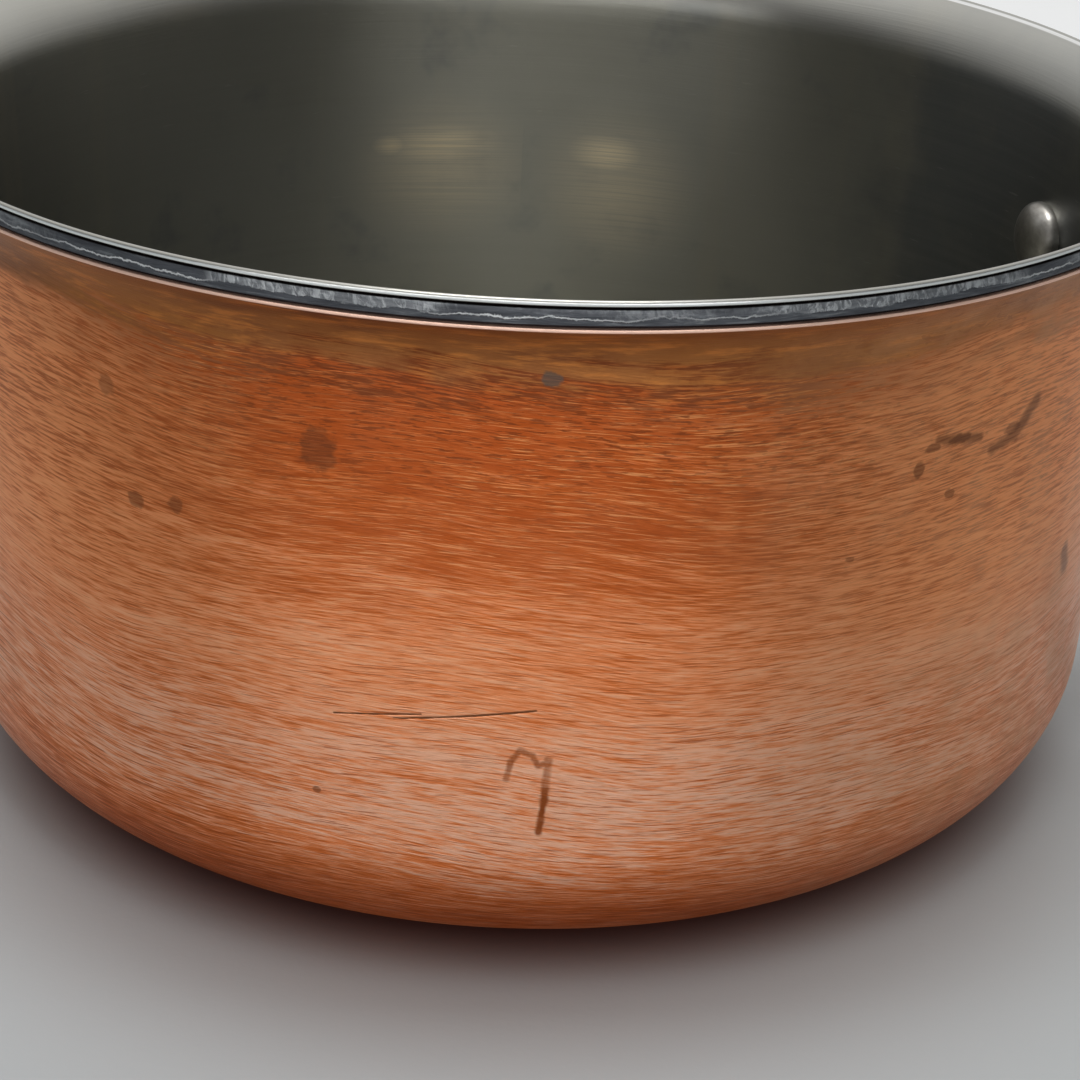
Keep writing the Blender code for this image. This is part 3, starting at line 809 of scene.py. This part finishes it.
def floor_paint():
    """Pale grey table, painted paler towards the back as painted light, and with a painted shadow where the
    pan's foot hides it from the light.
    """
    g = Graph("floor_paint")
    y = g.split(g.place)[1]
    near = g.ramp(g.noise(g.place, **TABLE_CLOUD), NEAR_STOPS)
    # Painted light: paler towards the back.
    colour = g.mix(g.span(y, *LIT_BEHIND), near, FAR_LIT_PAINT)
    # Painted shadow: dark close to the pan's foot.
    colour = g.mix(g.span(axis_distance(g), *DARKER_UNDER), FOOT_SHADOW_PAINT, colour)
    speck = g.noise(g.place, **SPECKS)
    g.set(base_color=colour, roughness=0.5, normal=g.bump(speck, PAINT_GRAIN))
    return g.material


# ---- Camera, lights and floor ------------------------------------------------------------------

CAMERA_AZIMUTH = math.radians(-1.7)
CAMERA_ELEVATION = math.radians(25.8)
CAMERA_DISTANCE = 4.23 * RIM_RADIUS
AIM_HEIGHT = 0.23 * RIM_RADIUS
CAMERA_YAW = math.radians(-0.78)
CAMERA_ROLL = math.radians(2.48)
LENS = 83.33
SENSOR = 36.0
SHIFT = (-0.0120, 0.0083)

DOME_UP = (0.02, 0.45, 0.89)
DOME_FADE = (0.1, 1.0)
DOME_DIM = 0.05
DOME_BRIGHT = 1.05
BACKGROUND_SEEN = 0.62  # what the camera sees past the floor
FLOOR_REACH = 3.0

# Soft lights: name, place, aim, size and power.
LIGHTS = (
    ("key", (0.0, 0.03, 1.2), (0, 0, 0), (0.5, 0.25), 4.5),
    ("front", (-0.15, -1.25, 0.42), (0, 0, 0.03), (2.4, 0.25), 2.5),
    ("low", (-0.12, -1.2, 0.12), (0, 0, 0.04), (2.0, 0.10), 5.0),
)


def add_camera():
    data = bpy.data.cameras.new("camera")
    data.lens = LENS
    data.sensor_width = SENSOR
    data.shift_x, data.shift_y = SHIFT
    camera = bpy.data.objects.new("camera", data)
    bpy.context.scene.collection.objects.link(camera)
    ahead = Vector((0, math.cos(CAMERA_ELEVATION), -math.sin(CAMERA_ELEVATION)))
    right = Vector((1, 0, 0))
    up = right.cross(ahead)
    yawed = right * math.cos(CAMERA_YAW) + ahead * math.sin(CAMERA_YAW)
    aim = ahead * math.cos(CAMERA_YAW) - right * math.sin(CAMERA_YAW)
    rolled = yawed * math.cos(CAMERA_ROLL) + up * math.sin(CAMERA_ROLL)
    top = up * math.cos(CAMERA_ROLL) - yawed * math.sin(CAMERA_ROLL)
    turn = Matrix((rolled, top, -aim)).transposed().to_4x4()
    place = Matrix.Translation(Vector((0, 0, AIM_HEIGHT)) - ahead * CAMERA_DISTANCE)
    camera.matrix_world = Matrix.Rotation(CAMERA_AZIMUTH, 4, "Z") @ place @ turn
    bpy.context.scene.camera = camera


def add_soft_light(name, place, aim, size, power):
    data = bpy.data.lights.new(name, "AREA")
    data.shape = "RECTANGLE"
    data.size, data.size_y = size
    data.energy = power
    light = bpy.data.objects.new(name, data)
    light.location = place
    light.rotation_euler = (Vector(aim) - Vector(place)).to_track_quat("-Z", "Y").to_euler()
    bpy.context.scene.collection.objects.link(light)


def add_world():
    """A soft dome: bright overhead and behind, dim at the horizon in front."""
    world = bpy.data.worlds.new("studio")
    world.use_nodes = True
    tree = world.node_tree
    background = tree.nodes["Background"]
    background.inputs["Color"].default_value = (1.0, 1.0, 1.0, 1.0)
    coordinate = tree.nodes.new("ShaderNodeTexCoord")
    turn = tree.nodes.new("ShaderNodeVectorMath")
    turn.operation = "DOT_PRODUCT"
    turn.inputs[1].default_value = DOME_UP
    tree.links.new(coordinate.outputs["Generated"], turn.inputs[0])
    fade = tree.nodes.new("ShaderNodeMapRange")
    for socket, number in zip(fade.inputs[1:], (*DOME_FADE, DOME_DIM, DOME_BRIGHT)):
        socket.default_value = number
    tree.links.new(turn.outputs["Value"], fade.inputs[0])
    path = tree.nodes.new("ShaderNodeLightPath")
    seen = tree.nodes.new("ShaderNodeMix")
    seen.inputs["B"].default_value = BACKGROUND_SEEN
    tree.links.new(path.outputs["Is Camera Ray"], seen.inputs["Factor"])
    tree.links.new(fade.outputs[0], seen.inputs["A"])
    tree.links.new(seen.outputs["Result"], background.inputs["Strength"])
    bpy.context.scene.world = world


def add_floor():
    bm = bmesh.new()
    bmesh.ops.create_grid(bm, x_segments=8, y_segments=8, size=FLOOR_REACH)
    mesh = bpy.data.meshes.new("floor")
    bm.to_mesh(mesh)
    bm.free()
    floor = bpy.data.objects.new("floor", mesh)
    bpy.context.scene.collection.objects.link(floor)
    mesh.materials.append(floor_paint())


# ---- Rivets and handle -------------------------------------------------------------------------

INNER_HEAD_RADIUS = 5.0 * MM
INNER_HEAD_HEIGHT = 2.9 * MM
OUTER_HEAD_RADIUS = 4.6 * MM
OUTER_HEAD_HEIGHT = 2.0 * MM
HEAD_EDGE = 0.6 * MM
HEAD_SINK = 0.15 * MM  # a head is pressed this far into the sheet
HEAD_FOOT = 0.97  # radius of a head where it meets the sheet, as a share of its widest
HEAD_STEPS = 14
RISE_POWER, REACH_POWER = 0.85, 0.9  # below 1 the dome is fuller than a quarter round
RIVET_SEGMENTS = 96
FLANGE_FRONT = 3.5 * MM  # the flange's face, out from the copper's
CASTING_VOXEL = 0.5 * MM
CASTING_SOFTENING = 32

# Rivets: name, height on the wall and offset to the side.
RIVETS = (
    ("rivet_upper_left", 57.8 * MM, 21.5 * MM),
    ("rivet_upper_right", 57.8 * MM, -21.5 * MM),
    ("rivet_lower", 38.5 * MM, 0.0),
)


def head_profile(radius, height, seat, outward):
    """(radius, height) points of a domed head from its seat to its crown."""
    points = [(radius * HEAD_FOOT, seat - outward * HEAD_SINK), (radius, seat + outward * HEAD_EDGE / 2)]
    for step in range(HEAD_STEPS + 1):
        angle = math.pi / 2 * step / HEAD_STEPS
        rise = HEAD_EDGE + (height - HEAD_EDGE) * math.sin(angle) ** RISE_POWER
        points.append((radius * math.cos(angle) ** REACH_POWER, seat + outward * rise))
    points[-1] = (0.0, points[-1][1])
    return points


def add_rivet(name, height, offset, material):
    radius = wall_radius(height)
    azimuth = math.asin(offset / radius)
    place = Matrix.Translation((radius * math.cos(azimuth), radius * math.sin(azimuth), height))
    place = place @ Matrix.Rotation(azimuth, 4, "Z") @ Matrix.Rotation(math.pi / 2 + WALL_LEAN, 4, "Y")
    inner = head_profile(INNER_HEAD_RADIUS, INNER_HEAD_HEIGHT, -SHEET_THICKNESS, -1)
    outer = head_profile(OUTER_HEAD_RADIUS, OUTER_HEAD_HEIGHT, FLANGE_FRONT, 1)
    bm = spin(outer[::-1] + inner, RIVET_SEGMENTS, place)
    add_piece(name + "_piece", bm, material, "rivet_steel", name)


def add_casting():
    """The handle with the soft edges of a casting, from the frame's solid."""
    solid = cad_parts["handle"]
    rough = bpy.data.objects.new("rough_casting", solid.data.copy())
    bpy.context.scene.collection.objects.link(rough)
    remesh = rough.modifiers.new("even skin", "REMESH")
    remesh.mode = "VOXEL"
    remesh.voxel_size = CASTING_VOXEL
    smooth = rough.modifiers.new("softened edges", "SMOOTH")
    smooth.factor = 0.5
    smooth.iterations = CASTING_SOFTENING
    evaluated = rough.evaluated_get(bpy.context.evaluated_depsgraph_get())
    bm = bmesh.new()
    bm.from_mesh(evaluated.to_mesh())
    bpy.data.objects.remove(rough)
    add_piece("handle_casting", bm, cast_brass(), "brass", "handle")


# ---- Assembly ----------------------------------------------------------------------------------


def build():
    add_camera()
    add_world()
    add_floor()
    for light in LIGHTS:
        add_soft_light(*light)

    copper = spin(copper_profile(), TURNED_SEGMENTS)
    add_piece("copper_skin", copper, brushed_copper(), "copper", "copper_shell")
    core = spin(core_profile(), TURNED_SEGMENTS)
    add_piece("core_edge", core, ground_core(), "aluminium", "aluminium_core")
    liner = spin(liner_profile(), TURNED_SEGMENTS)
    add_piece("liner_skin", liner, worn_steel(), "steel", "steel_liner")
    shared = rivet_steel()
    for name, height, offset in RIVETS:
        add_rivet(name, height, offset, shared)
    add_casting()


build()
bpy.context.scene.view_settings.view_transform = "Standard"
